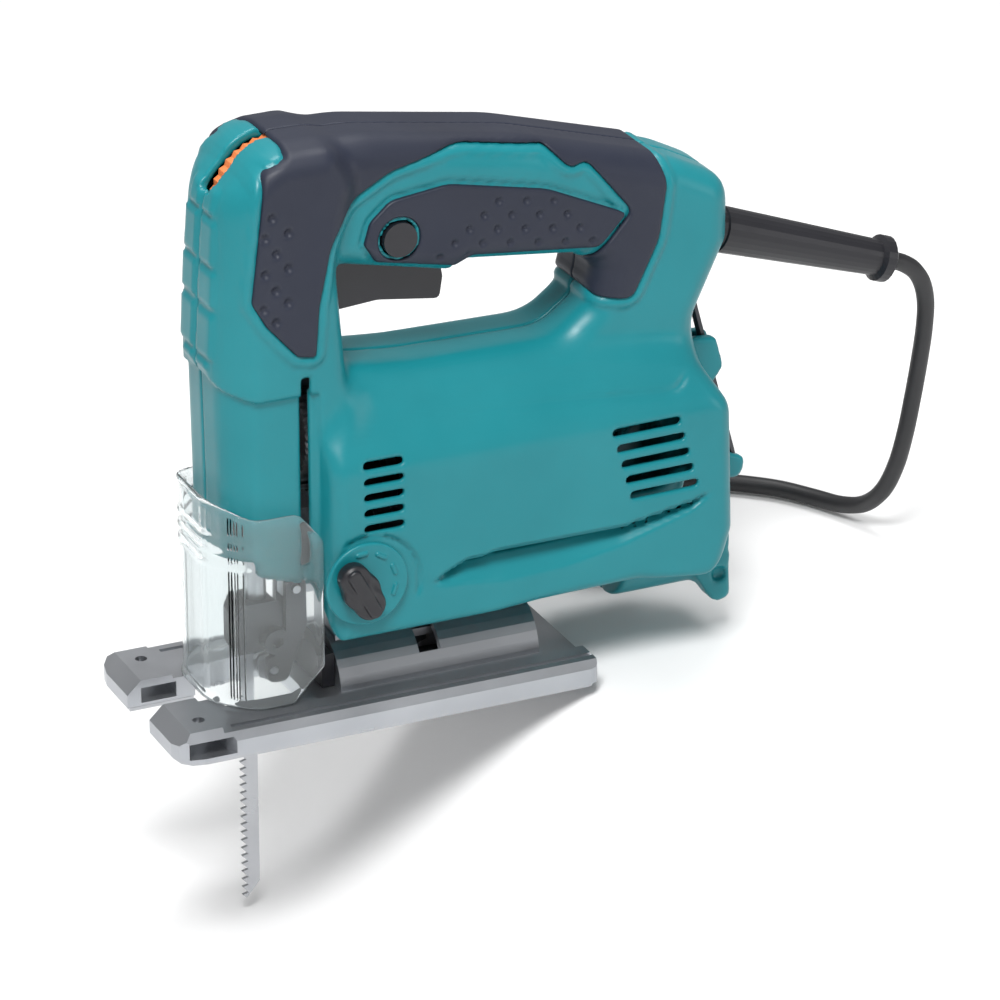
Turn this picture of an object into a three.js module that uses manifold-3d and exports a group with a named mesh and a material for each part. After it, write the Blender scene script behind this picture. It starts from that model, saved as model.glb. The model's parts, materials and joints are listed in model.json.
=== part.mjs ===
// A corded jigsaw with a D-handle, built from its separate pieces.
//
// Frame, in millimetres: +X points back towards the cord, -Y is the side with the selector lever,
// +Z is up, and Z = 0 is the underside of the sole. The origin is on the sole's centre line,
// 34 mm behind the back edge of the blade.

import * as THREE from 'three';
import { mergeVertices } from 'three/addons/utils/BufferGeometryUtils.js';
import Module from 'manifold-3d';

const wasm = await Module();
wasm.setup();

// ---------------------------------------------------------------- driving dimensions

const GAP = 0.3; // clearance between pieces that touch or slide
const WALL = 3; // thickness of the plastic shells
const GRIP_SKIN = 1.3; // thickness of the soft grips

const SOLE = { front: -76.6, back: 77, halfWidth: 38.5, coverThickness: 1.2, railTop: 9.5, webTop: 6.5 };
const PRONG = { top: 11, back: -60 };
const NOTCH = { halfWidth: 10, wideHalfWidth: 17, wideFront: -52, back: -21 };

const TILT = { y: 0, z: 5 }; // axis about which the base tilts for bevel cuts
const SADDLE = { radius: 18, wall: 2.5, front: -10, back: 64 };
const BASE_SWEEP_RADIUS = 39.2; // room that the tilting base needs under the body
const HANDLE_HALF_WIDTH = 18.5;
const HEAD = { halfWidth: 24, front: -53.5 };

const MOTOR = { z: 78, coreRadius: 13, fieldRadius: 25, front: 14, back: 56 };
const GEAR = { z: 100.5, radius: 19.4, teeth: 47, front: -22, back: -15 };
const PINION = { tipRadius: 2.7, rootRadius: 1.9, teeth: 6 };
const CRANK_RADIUS = 9; // half of the 18 mm stroke

const SLIDER = { x: -33, radius: 3.5, bottom: 31, top: 135.5 };
const BLADE = { back: -34, shankFront: -39.4, front: -40.4, thickness: 1.3, tip: -74, top: 30 };
const TEETH = { pitch: 3, depth: 2.3 };
const DIAL = { x: -22.5, z: 178.8, radius: 24, width: 6.4 };
const LOCK = { x: 12.1, z: 167.4, radius: 6 };
const TRIGGER_PIVOT = { x: -2, z: 163.3 };
const LEVER = { x: -11.4, z: 53.3 };
const NOZZLE = { z: 36, radius: 20, bore: 17, front: 96, back: 136 };
const ROLLER_PIVOT = { x: -21, z: 42 };
const ROLLER = { x: -29.1, z: 13, radius: 4.6 };
const CLAMP_BOLT = { x: -30, z: 26 };
const BEVEL_BOLT = { x: 24 };

const GUARD_START = { x: 132.4, z: 145.9 };
const GUARD_TIP = { x: 207, z: 120.8 };

const CORD_RADIUS = 3.15;
const CORD_PITCH = 6.5;
const COIL = { x: 105, y: 95, turnRadius: 37.8, rows: 3 };
// The plug lies on the coil, at its front, with its pins towards +X.
const PLUG = { back: 3.5, face: 26.5, halfWidth: 17.6, height: 13.7, pinSpacing: 9.3, pinLength: 19 };

// Points of the cord's centre line from the guard to the coil.
const CORD_ROUTE = [
  [207.4, 0, 120.7],
  [211.5, 0.3, 119],
  [216.5, 1, 115.5],
  [221, 2.6, 109.5],
  [224.2, 5, 101],
  [225.8, 8, 90],
  [226.3, 11.5, 76],
  [226.3, 15.5, 60],
  [226, 19.5, 44.5],
  [225.4, 24.5, 30],
  [224.2, 31.5, 17.5],
  [222.2, 41, 8.8],
  [219, 52.5, 4.4],
  [213.8, 65, 3.3],
  [206, 77, 3.3],
  [195.5, 87, 3.3],
  [183, 96, 3.3],
  [169.5, 104.5, 3.3],
  [157.5, 113.8, 3.3],
  [147.3, 123.5, 3.3],
];
const CORD_STEPS = 44;

// ---------------------------------------------------------------- solids

function solidFrom(geometry) {
  const bare = geometry.clone();
  bare.deleteAttribute('normal');
  bare.deleteAttribute('uv');
  const merged = mergeVertices(bare, 1e-4);
  const mesh = new wasm.Mesh({
    numProp: 3,
    vertProperties: new Float32Array(merged.attributes.position.array),
    triVerts: new Uint32Array(merged.index.array),
  });
  return new wasm.Manifold(mesh);
}

function geometryFrom(solid) {
  const mesh = solid.getMesh();
  const geometry = new THREE.BufferGeometry();
  geometry.setAttribute('position', new THREE.BufferAttribute(new Float32Array(mesh.vertProperties), 3));
  geometry.setIndex(new THREE.BufferAttribute(new Uint32Array(mesh.triVerts), 1));
  geometry.computeVertexNormals();
  return geometry;
}

const union = (...solids) => solids.reduce((whole, solid) => whole.add(solid));

// Corners [a, b, radius] moved outwards by a distance, or inwards by a negative one.
function grown(corners, distance) {
  const clockwise = THREE.ShapeUtils.isClockWise(corners.map(([a, b]) => new THREE.Vector2(a, b)));
  const outwards = clockwise ? -1 : 1;
  return corners.map(([a, b, radius = 0], i) => {
    const corner = new THREE.Vector2(a, b);
    const before = corners[(i + corners.length - 1) % corners.length];
    const after = corners[(i + 1) % corners.length];
    const arriving = corner.clone().sub(new THREE.Vector2(before[0], before[1])).normalize();
    const leaving = new THREE.Vector2(after[0], after[1]).sub(corner).normalize();
    const normal = new THREE.Vector2(arriving.y + leaving.y, -arriving.x - leaving.x);
    const scale = (outwards * distance) / (1 + arriving.dot(leaving));
    const convex = arriving.cross(leaving) * outwards > 0 ? 1 : -1;
    const moved = corner.addScaledVector(normal, scale);
    return [moved.x, moved.y, radius ? Math.max(0.5, radius + convex * distance) : 0];
  });
}

// The closed outline of such corners, each rounded by its radius.
function outline(corners, arcSteps = 3) {
  const points = [];
  corners.forEach(([a, b, radius = 0], i) => {
    const corner = new THREE.Vector2(a, b);
    if (radius === 0) {
      points.push(corner);
      return;
    }
    const before = corners[(i + corners.length - 1) % corners.length];
    const after = corners[(i + 1) % corners.length];
    const toBefore = new THREE.Vector2(before[0], before[1]).sub(corner);
    const toAfter = new THREE.Vector2(after[0], after[1]).sub(corner);
    const halfAngle = Math.abs(toBefore.angleTo(toAfter)) / 2;
    const room = 0.48 * Math.min(toBefore.length(), toAfter.length());
    const reach = Math.min(radius / Math.tan(halfAngle), room);
    const start = corner.clone().addScaledVector(toBefore.normalize(), reach);
    const end = corner.clone().addScaledVector(toAfter.normalize(), reach);
    points.push(...new THREE.QuadraticBezierCurve(start, corner, end).getPoints(arcSteps));
  });
  return points;
}

function extrusion(points, depth) {
  return new THREE.ExtrudeGeometry(new THREE.Shape(points), { depth, bevelEnabled: false });
}

// An outline in X and Z, extruded along Y from low to high.
function sideSolid(points, low, high) {
  const geometry = extrusion(points, high - low);
  geometry.rotateX(Math.PI / 2);
  geometry.translate(0, high, 0);
  return solidFrom(geometry);
}

// The same from corners, with its outer edges rounded in two steps.
function roundedSideSolid(corners, low, high, rounding) {
  return union(
    sideSolid(outline(corners), low + rounding, high - rounding),
    sideSolid(outline(grown(corners, -0.3 * rounding)), low + 0.3 * rounding, high - 0.3 * rounding),
    sideSolid(outline(grown(corners, -rounding)), low, high),
  );
}

// An outline in X and Y, extruded along Z.
function planSolid(points, low, high) {
  const geometry = extrusion(points, high - low);
  geometry.translate(0, 0, low);
  return solidFrom(geometry);
}

// An outline in Y and Z, extruded along X.
function frontSolid(points, low, high) {
  const geometry = extrusion(points, high - low);
  geometry.rotateX(Math.PI / 2);
  geometry.rotateZ(Math.PI / 2);
  geometry.translate(low, 0, 0);
  return solidFrom(geometry);
}

function box(lowX, lowY, lowZ, highX, highY, highZ) {
  const geometry = new THREE.BoxGeometry(highX - lowX, highY - lowY, highZ - lowZ);
  geometry.translate((lowX + highX) / 2, (lowY + highY) / 2, (lowZ + highZ) / 2);
  return solidFrom(geometry);
}

// A turned piece: profile [radius, distance] about an axis from a point along a direction.
function turned(profile, from, direction, segments = 24) {
  const points = profile.map(([radius, along]) => new THREE.Vector2(radius, along));
  const geometry = new THREE.LatheGeometry(points, segments);
  const turn = new THREE.Quaternion().setFromUnitVectors(
    new THREE.Vector3(0, 1, 0),
    new THREE.Vector3(...direction).normalize(),
  );
  geometry.applyQuaternion(turn);
  geometry.translate(...from);
  return solidFrom(geometry);
}

function rod(radius, low, high, from, direction, segments = 24) {
  return turned([[0, low], [radius, low], [radius, high], [0, high]], from, direction, segments);
}

function ring(inner, outer, low, high, from, direction, segments = 24) {
  const profile = [[inner, low], [outer, low], [outer, high], [inner, high], [inner, low]];
  return turned(profile, from, direction, segments);
}

const ALONG_X = [1, 0, 0];
const ALONG_Y = [0, 1, 0];
const ALONG_Z = [0, 0, 1];

// ---------------------------------------------------------------- colours

const FINISHES = {
  teal_plastic: { color: 0x1f8f98, roughness: 0.38, metalness: 0 },
  soft_grip: { color: 0x343b4a, roughness: 0.75, metalness: 0 },
  black_plastic: { color: 0x17181b, roughness: 0.5, metalness: 0 },
  orange_plastic: { color: 0xd9794a, roughness: 0.5, metalness: 0 },
  clear_plastic: { color: 0xe8f2f4, roughness: 0.08, metalness: 0, transparent: true, opacity: 0.3 },
  cast_aluminium: { color: 0xb4b7b8, roughness: 0.4, metalness: 0.9 },
  steel: { color: 0x9a9c9f, roughness: 0.3, metalness: 1 },
  dark_steel: { color: 0x3b3d42, roughness: 0.45, metalness: 0.9 },
  copper: { color: 0xb4683a, roughness: 0.4, metalness: 0.9 },
  bronze: { color: 0x8d6b3c, roughness: 0.5, metalness: 0.8 },
  carbon: { color: 0x222224, roughness: 0.8, metalness: 0 },
  cord_rubber: { color: 0x101114, roughness: 0.65, metalness: 0 },
};

const group = new THREE.Group();

function piece(name, finish, solid) {
  const mesh = new THREE.Mesh(geometryFrom(solid), new THREE.MeshStandardMaterial({ ...FINISHES[finish] }));
  mesh.name = name;
  group.add(mesh);
  return solid;
}

// ---------------------------------------------------------------- the body's outer form

const LOOP_OUTLINE = [
  [-50, 62], [-52, 130, 20], [-48, 188, 22], [-32, 202.6, 12], [2, 201.8, 60], [57, 193.2, 80],
  [117, 176.6, 40], [136, 167, 12], [136, 146, 10], [123.4, 119, 14], [124.8, 100, 10], [137.6, 66, 4],
  [136, 50, 4], [100, 40],
];
const LOOP_OPENING = [
  [-10.4, 159.8, 4], [32.5, 150.6, 3], [39, 153.4, 3], [88.5, 147.8, 8], [83.5, 130, 9], [69, 119, 14],
  [20, 118.2, 30], [-6.5, 123.5, 7],
];
const HEAD_OUTLINE = [
  [-52.6, 56], [-53.6, 130, 30], [-50.5, 166, 30], [-47.4, 189, 18], [-33, 201.8, 12], [-12, 202.2, 6],
  [-6, 190, 6], [-11.2, 165, 6], [-7.6, 122, 4], [-4, 112], [-4, 47], [-25, 47],
];
const BODY_OUTLINE = [
  [-18.5, 29], [-18.5, 100, 8], [-6, 122, 10], [74, 119, 20], [118, 112, 20], [130, 92, 14], [131.5, 46, 8],
  [124, 21, 4], [113, 27, 4], [94, 32], [58, 31], [40, 29],
];
const BODY_SECTION = [
  [-33, 18], [-33, 94, 14], [-19, 118, 10], [-15, 124, 3], [15, 124, 3], [19, 118, 10], [33, 94, 14],
  [33, 18],
];

function headPlan(grow) {
  const half = HEAD.halfWidth + grow;
  const front = HEAD.front - grow;
  const shape = new THREE.Shape();
  shape.moveTo(0, -half);
  shape.lineTo(-43, -half);
  shape.bezierCurveTo(-49 - grow, -half, front, -15 - grow, front, 0);
  shape.bezierCurveTo(front, 15 + grow, -49 - grow, half, -43, half);
  shape.lineTo(0, half);
  return shape.getPoints(6);
}

// The whole body as one solid, grown outwards (or shrunk inwards) by a distance.
function bodyForm(grow) {
  const handleHalf = HANDLE_HALF_WIDTH + grow;
  const opening = sideSolid(outline(grown(LOOP_OPENING, -grow)), -60, 60);
  const loop = roundedSideSolid(grown(LOOP_OUTLINE, grow), -handleHalf, handleHalf, 4).subtract(opening);
  const headHalf = HEAD.halfWidth + grow;
  const head = roundedSideSolid(grown(HEAD_OUTLINE, grow), -headHalf, headHalf, 3)
    .intersect(planSolid(headPlan(grow), 20, 240));
  const body = sideSolid(outline(grown(BODY_OUTLINE, grow)), -60, 60)
    .intersect(frontSolid(outline(grown(BODY_SECTION, grow)), -60, 180));
  const tiltAxis = [0, TILT.y, TILT.z];
  const sweep = rod(BASE_SWEEP_RADIUS - grow, -60 + grow, 84 - grow, tiltAxis, ALONG_X, 40);
  const nozzleAxis = [0, 0, NOZZLE.z];
  const rearBulge = rod(NOZZLE.radius + grow, NOZZLE.front - grow, NOZZLE.back, nozzleAxis, ALONG_X, 28);
  return union(loop, head, body.subtract(sweep), rearBulge);
}

// ---------------------------------------------------------------- housing halves

const SCREWS = [[-43.5, 114], [10, 187], [62, 110], [122, 128], [77, 177.5]];

function screwAxis(x, z, radius, low, high, segments = 12) {
  return rod(radius, low, high, [x, 0, z], ALONG_Y, segments);
}

function vents() {
  const cuts = [];
  for (const side of [-1, 1]) {
    for (let i = 0; i < 5; i++) {
      const frontLow = 70.5 + i * 5.6;
      cuts.push(box(-7, side * 31 - 6, frontLow, 7.5, side * 31 + 6, frontLow + 2.6));
      const rearLow = 64.7 + i * 6;
      const rearFront = 91 - i * 1.7;
      cuts.push(box(rearFront, side * 31 - 6, rearLow, rearFront + 25.5, side * 31 + 6, rearLow + 2.9));
    }
  }
  return union(...cuts);
}

function guardDirection() {
  return [GUARD_TIP.x - GUARD_START.x, 0, GUARD_TIP.z - GUARD_START.z];
}

function housing() {
  const outer = bodyForm(0);
  const inner = bodyForm(-WALL);
  const ribs = union(box(89.5, -31, 60, 92.5, 31, 96), box(33.5, -31, 49, 36.5, 31, 107))
    .subtract(rod(8.3, 80, 100, [0, 0, MOTOR.z], ALONG_X))
    .subtract(rod(MOTOR.fieldRadius + GAP, 20, 50, [0, 0, MOTOR.z], ALONG_X));
  let shell = outer.subtract(inner);
  const keyCheeks = union(
    sideSolid(outline([[122, 107.6], [136.6, 106, 2], [139.6, 95, 3], [134.6, 88, 2], [122, 96]]), -6, 6),
    sideSolid(outline([[126, 66], [142, 61.4, 2], [149.6, 58.6, 3], [147.4, 51.4, 3.5], [130, 52]]), -5, 5),
  ).subtract(inner);
  shell = union(shell, keyCheeks).subtract(box(122, -1.9, 40, 160, 1.9, 122).subtract(outer));
  const nozzleLug = sideSolid(outline([
    [120, 30], [126.6, 19, 4], [130.6, 12.4, 4], [137, 13.4, 4], [136, 30],
  ]), -19, -9);
  shell = union(shell, nozzleLug);
  shell = union(shell, ribs.intersect(outer));
  for (const [x, z] of SCREWS) {
    shell = union(shell, screwAxis(x, z, 3.6, -40, 40).intersect(outer));
    shell = shell.subtract(screwAxis(x, z, 1.9, -15, 40));
    shell = shell.subtract(screwAxis(x, z, 3.3, 14, 60));
  }
  shell = shell
    .subtract(vents())
    .subtract(box(-60, -21, 30, -24.8, 21, 62)) // open foot of the neck
    .subtract(box(-25.2, -21, 30, -17, 21, 56))
    .subtract(box(-17.5, -3.2, 30, -9.6, 3.2, 60)) // passage for the guide's bracket
    .subtract(box(-8.2, -8.6, 138, 35, 8.6, 160)) // trigger slot
    .subtract(box(-8.2, -8.6, 138, 4.2, 8.6, 168)) // room for the trigger's hinge lug
    .subtract(rod(DIAL.radius + 0.7, -3.6, 3.6, [DIAL.x, 0, DIAL.z], ALONG_Y, 40))
    .subtract(rod(DIAL.radius + 5, -3.6, 3.6, [DIAL.x, 0, DIAL.z], ALONG_Y, 40)
      .intersect(box(-60, -10, 186, -25, 10, 220))) // the dial's opening in the head's upper corner
    .subtract(rod(LOCK.radius + 0.4, -30, -10, [LOCK.x, 0, LOCK.z], ALONG_Y))
    .subtract(rod(4.4, -40, -25, [LEVER.x, 0, LEVER.z], ALONG_Y))
    .subtract(rod(NOZZLE.bore, NOZZLE.front + 4, NOZZLE.back + 4, [0, 0, NOZZLE.z], ALONG_X, 28))
    .subtract(rod(7.9, -14, 14, [GUARD_START.x, 0, GUARD_START.z], guardDirection()));
  for (const side of [-1, 1]) {
    const guideGroove = box(-25, side * HEAD.halfWidth - 2.2, 61, -22.2, side * HEAD.halfWidth + 2.2, 125);
    shell = shell.subtract(guideGroove);
  }
  const far = 400;
  piece('housing_left', 'teal_plastic', shell.intersect(box(-far, -far, -far, far, -GAP / 2, far)));
  piece('housing_right', 'teal_plastic', shell.intersect(box(-far, GAP / 2, -far, far, far, far)));
  SCREWS.forEach(([x, z], i) => {
    const head = screwAxis(x, z, 2.9, 14.3, 16.6);
    const shank = screwAxis(x, z, 1.5, -12, 14.6);
    piece(`housing_screw_${i + 1}`, 'dark_steel', union(head, shank));
  });
}

// ---------------------------------------------------------------- soft grips

const GRIP_OUTLINE = outline([
  [-29, 215], [-26.5, 206, 3], [-28, 202.5, 3], [-37.5, 199, 4], [-42.8, 155, 4], [-38, 146.5, 3],
  [-27, 134, 3], [-20, 132.6, 2], [-18.5, 151, 10], [-14, 171, 16], [-6, 182.6, 14], [9.5, 191.2, 18],
  [34, 196, 24], [66, 190.4, 4], [74, 181.8, 5], [80.6, 183.2, 4], [96.8, 163.4, 3], [86, 151.3, 2],
  [80, 144], [84.5, 133.5, 3], [97.6, 131.6, 5], [107.6, 152, 20], [110.5, 172, 16], [106, 190], [105, 215],
], 3);
const PALM_OUTLINE = outline([
  [-0.8, 167], [1.4, 174.6, 6], [9, 181.4, 8], [30, 184, 20], [66, 176.6, 30], [96, 163.2, 2], [85, 151.6, 4],
  [39.5, 156.2, 4], [33, 153.6, 3], [4, 159.4, 4],
], 3);

function grips() {
  const skin = bodyForm(GRIP_SKIN + GAP).subtract(bodyForm(GAP));
  const grip = skin.intersect(sideSolid(GRIP_OUTLINE, -60, 60))
    .subtract(rod(DIAL.radius + 0.7, -3.6, 3.6, [DIAL.x, 0, DIAL.z], ALONG_Y, 40));
  const palmFace = box(-20, -30, 140, 120, 30, 200).subtract(box(-20, -17, 140, 120, 17, 200));
  const palm = skin.intersect(sideSolid(PALM_OUTLINE, -60, 60)).intersect(palmFace)
    .subtract(rod(LOCK.radius + 1.2, -30, 0, [LOCK.x, 0, LOCK.z], ALONG_Y));
  const far = 400;
  const leftHalf = box(-far, -far, -far, far, -GAP / 2, far);
  const rightHalf = box(-far, GAP / 2, -far, far, far, far);
  piece('grip_left', 'soft_grip', grip.intersect(leftHalf));
  piece('grip_right', 'soft_grip', grip.intersect(rightHalf));
  piece('palm_panel_left', 'soft_grip', palm.intersect(leftHalf));
  piece('palm_panel_right', 'soft_grip', palm.intersect(rightHalf));
}

// ---------------------------------------------------------------- controls in the handle and head

function controls() {
  const knurled = [];
  const notches = 40;
  for (let i = 0; i < notches * 2; i++) {
    const angle = (i * Math.PI) / notches;
    const radius = DIAL.radius - (i % 2 ? 0.9 : 0);
    knurled.push(new THREE.Vector2(DIAL.x + radius * Math.cos(angle), DIAL.z + radius * Math.sin(angle)));
  }
  const wheel = sideSolid(knurled, -DIAL.width / 2, DIAL.width / 2)
    .subtract(rod(2.3, -10, 10, [DIAL.x, 0, DIAL.z], ALONG_Y, 12));
  piece('speed_dial', 'orange_plastic', wheel);
  piece('dial_pin', 'dark_steel', rod(2, -6, 6, [DIAL.x, 0, DIAL.z], ALONG_Y, 12));

  const trigger = sideSolid(outline([
    [-6.6, 155, 1], [-6.6, 141.2, 2], [9, 142.4, 12], [31.4, 139.2, 2], [32.6, 147, 1], [31.6, 152.5],
    [20, 155.6, 3], [3, 157.6], [2.4, 166.4, 2.5], [-6.6, 166.4, 2.5],
  ]), -8, 8);
  const pivot = [TRIGGER_PIVOT.x, 0, TRIGGER_PIVOT.z];
  const dialRoom = rod(DIAL.radius + 2, -3.8, 3.8, [DIAL.x, 0, DIAL.z], ALONG_Y, 40);
  piece('trigger', 'black_plastic', trigger.subtract(dialRoom).subtract(rod(1.8, -20, 20, pivot, ALONG_Y, 12)));
  piece('trigger_pin', 'steel', rod(1.5, -15, 15, pivot, ALONG_Y, 12));

  const buttonTop = -HANDLE_HALF_WIDTH - GRIP_SKIN - GAP - 0.5;
  const button = rod(LOCK.radius, buttonTop, -12.2, [LOCK.x, 0, LOCK.z], ALONG_Y);
  piece('lock_button', 'black_plastic', button);

  piece('switch_unit', 'black_plastic', box(6, -8.6, 161.5, 44, 8.6, 176));
  piece('speed_controller', 'black_plastic', box(48, -10, 160, 70, 10, 176));
  piece('cord_clamp', 'black_plastic', box(100, -10, 153, 112, 10, 159));
}

function selectorLever() {
  const direction = [-0.47, 0, 0.883];
  const lobes = [];
  for (const side of [1, -1]) {
    const x = LEVER.x + side * 5.6 * direction[0];
    const z = LEVER.z + side * 5.6 * direction[2];
    lobes.push(rod(5.4, -43.5, -36.4, [x, 0, z], ALONG_Y, 20));
  }
  const grip = union(...lobes, rod(6.6, -41, -36.4, [LEVER.x, 0, LEVER.z], ALONG_Y, 20));
  const stem = rod(4, -37, -27, [LEVER.x, 0, LEVER.z], ALONG_Y, 16);
  piece('orbit_lever', 'black_plastic', union(grip, stem));
  const plate = rod(15, -36, -33.4, [LEVER.x + 4, 0, LEVER.z], ALONG_Y, 32)
    .subtract(rod(4.4, -40, -30, [LEVER.x, 0, LEVER.z], ALONG_Y, 16));
  piece('orbit_scale_plate', 'teal_plastic', plate);
}

// ---------------------------------------------------------------- motor

function motor() {
  const centre = [0, 0, MOTOR.z];
  const pinion = [];
  for (let i = 0; i < PINION.teeth * 2; i++) {
    const middle = (i * Math.PI) / PINION.teeth;
    const radius = i % 2 ? PINION.rootRadius : PINION.tipRadius;
    for (const edge of [-0.11, 0.11]) {
      const y = radius * Math.cos(middle + edge);
      pinion.push(new THREE.Vector2(y, MOTOR.z + radius * Math.sin(middle + edge)));
    }
  }
  const shaft = rod(2.5, -12, 97, centre, ALONG_X, 16);
  piece('armature_shaft', 'steel', union(shaft, frontSolid(pinion, GEAR.front, -11)));
  const core = ring(2.8, MOTOR.coreRadius, MOTOR.front, MOTOR.back, centre, ALONG_X, 24);
  piece('armature_core', 'dark_steel', core);
  piece('commutator', 'copper', ring(2.8, 8.6, 64, 78, centre, ALONG_X, 24));
  piece('field_core', 'dark_steel',
    ring(MOTOR.coreRadius + 0.7, MOTOR.fieldRadius, MOTOR.front, MOTOR.back, centre, ALONG_X, 32));
  piece('bearing_front', 'steel', ring(2.8, 8, -9, -3, centre, ALONG_X, 20));
  piece('bearing_rear', 'steel', ring(2.8, 8, 88, 94, centre, ALONG_X, 20));
  const blades = [];
  const bladeCount = 9;
  for (let i = 0; i < bladeCount; i++) {
    const blade = new THREE.BoxGeometry(6, 13.5, 1.4);
    blade.translate(5, 14.5, 0);
    blade.rotateX((i * 2 * Math.PI) / bladeCount);
    blade.translate(0, 0, MOTOR.z);
    blades.push(solidFrom(blade));
  }
  piece('cooling_fan', 'black_plastic', union(ring(2.8, 9, 0.5, 9.5, centre, ALONG_X, 20), ...blades));
  for (const [side, name] of [[-1, 'left'], [1, 'right']]) {
    const near = side * 9;
    const far = side * 25;
    const low = Math.min(near, far);
    const high = Math.max(near, far);
    const brushBore = box(67.7, low - 5, 75.2, 74.3, high + 5, 80.8);
    piece(`brush_holder_${name}`, 'bronze', box(66, low, 73.5, 76, high, 82.5).subtract(brushBore));
    const brush = side < 0 ? box(68, -20, 75.5, 74, -8.9, 80.5) : box(68, 8.9, 75.5, 74, 20, 80.5);
    piece(`brush_${name}`, 'carbon', brush);
  }
}

// ---------------------------------------------------------------- gearbox, slider and blade

function gearbox() {
  const plate = box(-14.6, -20, 60, -11.7, 20, 124)
    .subtract(rod(3.4, -20, 0, [0, 0, MOTOR.z], ALONG_X, 16))
    .subtract(rod(3.3, -20, 0, [0, 0, GEAR.z], ALONG_X, 16));
  const upperArm = box(-41, -8.5, 122, -11.7, 8.5, 132);
  const lowerArm = box(-41, -8.5, 62, -11.7, 8.5, 72.5);
  const tongue = box(-24.5, -2.6, 38.5, -11.7, 2.6, 62.5)
    .subtract(rod(1.8, -10, 10, [ROLLER_PIVOT.x, 0, ROLLER_PIVOT.z], ALONG_Y, 12));
  const bores = union(
    rod(6.8, 60, 75, [SLIDER.x, 0, 0], ALONG_Z, 20),
    rod(6.8, 120, 134, [SLIDER.x, 0, 0], ALONG_Z, 20),
  );
  piece('gear_housing', 'cast_aluminium', union(plate, upperArm, lowerArm, tongue).subtract(bores));
  const bore = SLIDER.radius + GAP;
  piece('slider_bush_upper', 'bronze', ring(bore, 6.5, 122, 132, [SLIDER.x, 0, 0], ALONG_Z, 20));
  piece('slider_bush_lower', 'bronze', ring(bore, 6.5, 62, 72.5, [SLIDER.x, 0, 0], ALONG_Z, 20));

  const toothed = [];
  for (let i = 0; i < GEAR.teeth * 2; i++) {
    const angle = (i * Math.PI) / GEAR.teeth;
    const radius = GEAR.radius - (i % 2 ? 1.4 : 0);
    toothed.push(new THREE.Vector2(radius * Math.cos(angle), GEAR.z + radius * Math.sin(angle)));
  }
  const wheel = frontSolid(toothed, GEAR.front, GEAR.back)
    .subtract(rod(3.3, -40, 0, [0, 0, GEAR.z], ALONG_X, 16));
  const crankPin = rod(3, GEAR.front - 2.2, GEAR.front + 2, [0, 0, GEAR.z - CRANK_RADIUS], ALONG_X, 16);
  piece('crank_gear', 'steel', union(wheel, crankPin));
  piece('gear_pin', 'dark_steel', rod(3, GEAR.front + 0.2, -8, [0, 0, GEAR.z], ALONG_X, 16));
}

function bladeOutline() {
  const points = [
    new THREE.Vector2(BLADE.back, BLADE.top),
    new THREE.Vector2(BLADE.back, BLADE.tip + 6),
    new THREE.Vector2(BLADE.front + 1.4, BLADE.tip),
  ];
  for (let z = BLADE.tip + 1.4; z < 7 - TEETH.pitch; z += TEETH.pitch) {
    points.push(new THREE.Vector2(BLADE.front, z));
    points.push(new THREE.Vector2(BLADE.front + TEETH.depth, z + 0.5));
  }
  points.push(new THREE.Vector2(BLADE.shankFront, 9));
  points.push(new THREE.Vector2(BLADE.shankFront, BLADE.top));
  return points;
}

function sliderAndBlade() {
  const along = [SLIDER.x, 0, 0];
  piece('slider_rod', 'steel', rod(SLIDER.radius, SLIDER.bottom, SLIDER.top, along, ALONG_Z, 20));
  const pinHeight = GEAR.z - CRANK_RADIUS;
  const clampRing = box(-37.6, -5, pinHeight - 6.5, -28.4, 5, pinHeight + 6.5);
  const slotted = box(-28.7, -15, pinHeight - 8, -25.1, 15, pinHeight + 8)
    .subtract(box(-30, -12.6, pinHeight - 3.4, -20, 12.6, pinHeight + 3.4));
  piece('scotch_yoke', 'dark_steel',
    union(clampRing, slotted).subtract(rod(SLIDER.radius + GAP, 80, 110, along, ALONG_Z, 20)));
  const holder = sideSolid(outline([
    [-43, 21.5, 2], [-43, 35, 2], [-40, 39.5, 2], [-28, 39.5, 2], [-26.6, 34, 2], [-26.6, 21.5, 2],
  ]), -6.5, 6.5)
    .subtract(rod(SLIDER.radius + GAP, 30.7, 50, along, ALONG_Z, 20))
    .subtract(box(BLADE.shankFront - 0.4, -0.95, 10, BLADE.back + 0.4, 0.95, 30.4))
    .subtract(rod(2.9, -10, 10, [CLAMP_BOLT.x, 0, CLAMP_BOLT.z], ALONG_Y, 16));
  piece('blade_holder', 'dark_steel', holder);
  const bolt = union(
    rod(4.6, -11, -6.8, [CLAMP_BOLT.x, 0, CLAMP_BOLT.z], ALONG_Y, 20),
    rod(2.6, -7, 6, [CLAMP_BOLT.x, 0, CLAMP_BOLT.z], ALONG_Y, 16),
  ).subtract(rod(2.1, -12, -8.5, [CLAMP_BOLT.x, 0, CLAMP_BOLT.z], ALONG_Y, 6));
  piece('blade_clamp_bolt', 'dark_steel', bolt);
  const half = BLADE.thickness / 2;
  piece('blade', 'steel', sideSolid(bladeOutline(), -half, half));
}

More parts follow.
